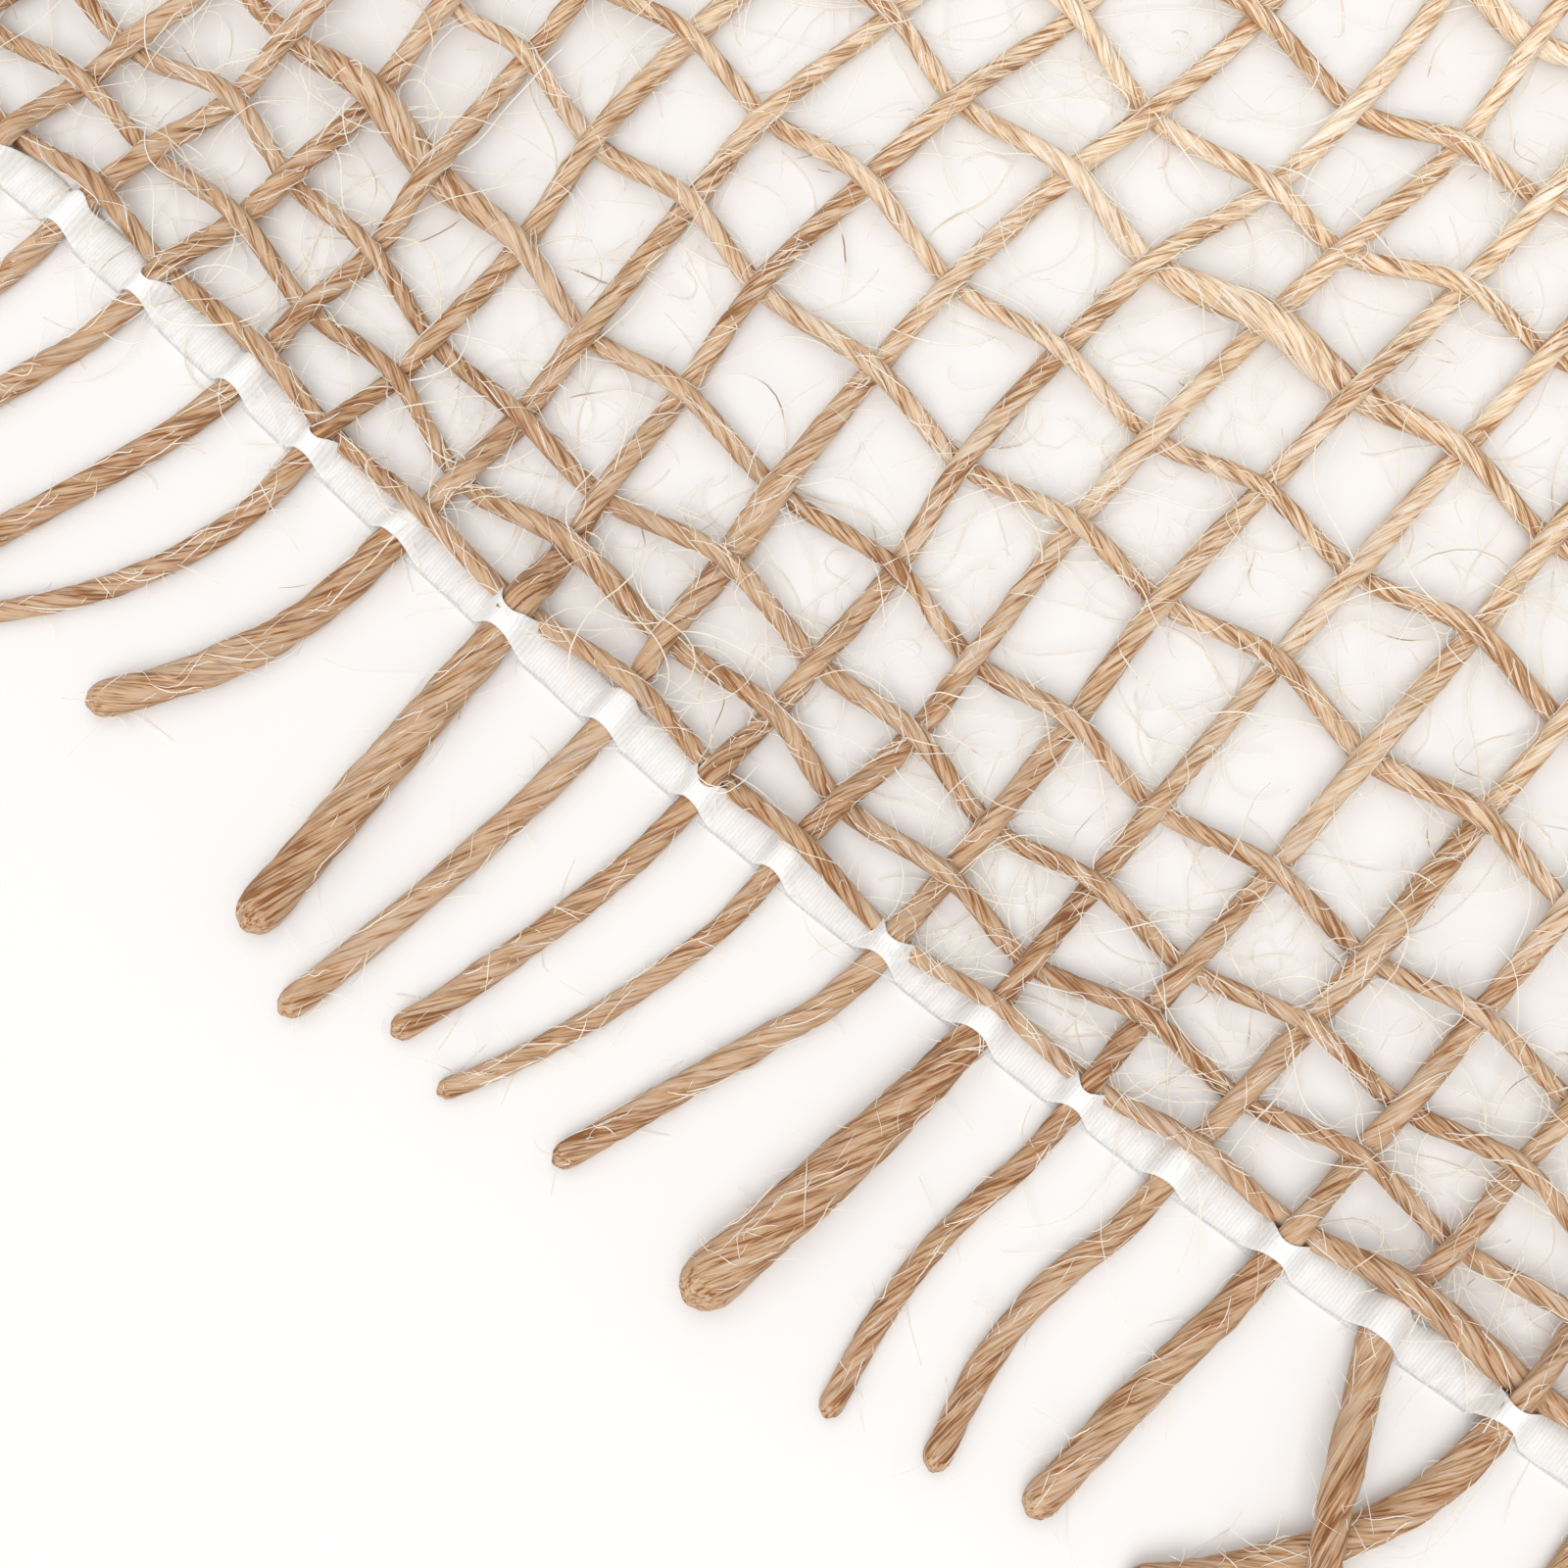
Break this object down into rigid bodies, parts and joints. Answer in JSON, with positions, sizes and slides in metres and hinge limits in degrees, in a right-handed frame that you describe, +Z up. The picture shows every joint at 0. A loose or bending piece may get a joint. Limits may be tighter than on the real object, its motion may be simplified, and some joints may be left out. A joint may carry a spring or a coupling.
{
  "type": "table runner",
  "caption": "Open-weave jute net table runner with narrow white overlocked end hems and a fringe of free warp ends, laid flat.",
  "frame": {"origin": "middle of the runner's footprint, on the table it lies on", "axes": "+X across the runner, +Y along it from the front end to the back end, +Z up from the table"},
  "size_m": [0.356, 1.8294, 0.0044],
  "materials": {
    "jute_yarn": "single twisted jute yarn, golden tan, matt, with loose pale fibres",
    "white_thread": "soft white overlock thread, matt"
  },
  "bodies": {
    "root": {"warp_yarn_01": "jute_yarn", "warp_yarn_02": "jute_yarn", "warp_yarn_03": "jute_yarn", "warp_yarn_04": "jute_yarn", "warp_yarn_05": "jute_yarn", "warp_yarn_06": "jute_yarn", "warp_yarn_07": "jute_yarn", "warp_yarn_08": "jute_yarn", "warp_yarn_09": "jute_yarn", "warp_yarn_10": "jute_yarn", "warp_yarn_11": "jute_yarn", "warp_yarn_12": "jute_yarn", "warp_yarn_13": "jute_yarn", "warp_yarn_14": "jute_yarn", "warp_yarn_15": "jute_yarn", "warp_yarn_16": "jute_yarn", "warp_yarn_17": "jute_yarn", "warp_yarn_18": "jute_yarn", "warp_yarn_19": "jute_yarn", "warp_yarn_20": "jute_yarn", "warp_yarn_21": "jute_yarn", "warp_yarn_22": "jute_yarn", "warp_yarn_23": "jute_yarn", "warp_yarn_24": "jute_yarn", "warp_yarn_25": "jute_yarn", "warp_yarn_26": "jute_yarn", "warp_yarn_27": "jute_yarn", "warp_yarn_28": "jute_yarn", "warp_yarn_29": "jute_yarn", "warp_yarn_30": "jute_yarn", "warp_yarn_31": "jute_yarn", "warp_yarn_32": "jute_yarn", "warp_yarn_33": "jute_yarn", "warp_yarn_34": "jute_yarn", "weft_yarn": "jute_yarn", "hem_stitching_front": "white_thread", "hem_stitching_back": "white_thread"}
  },
  "joints": []
}
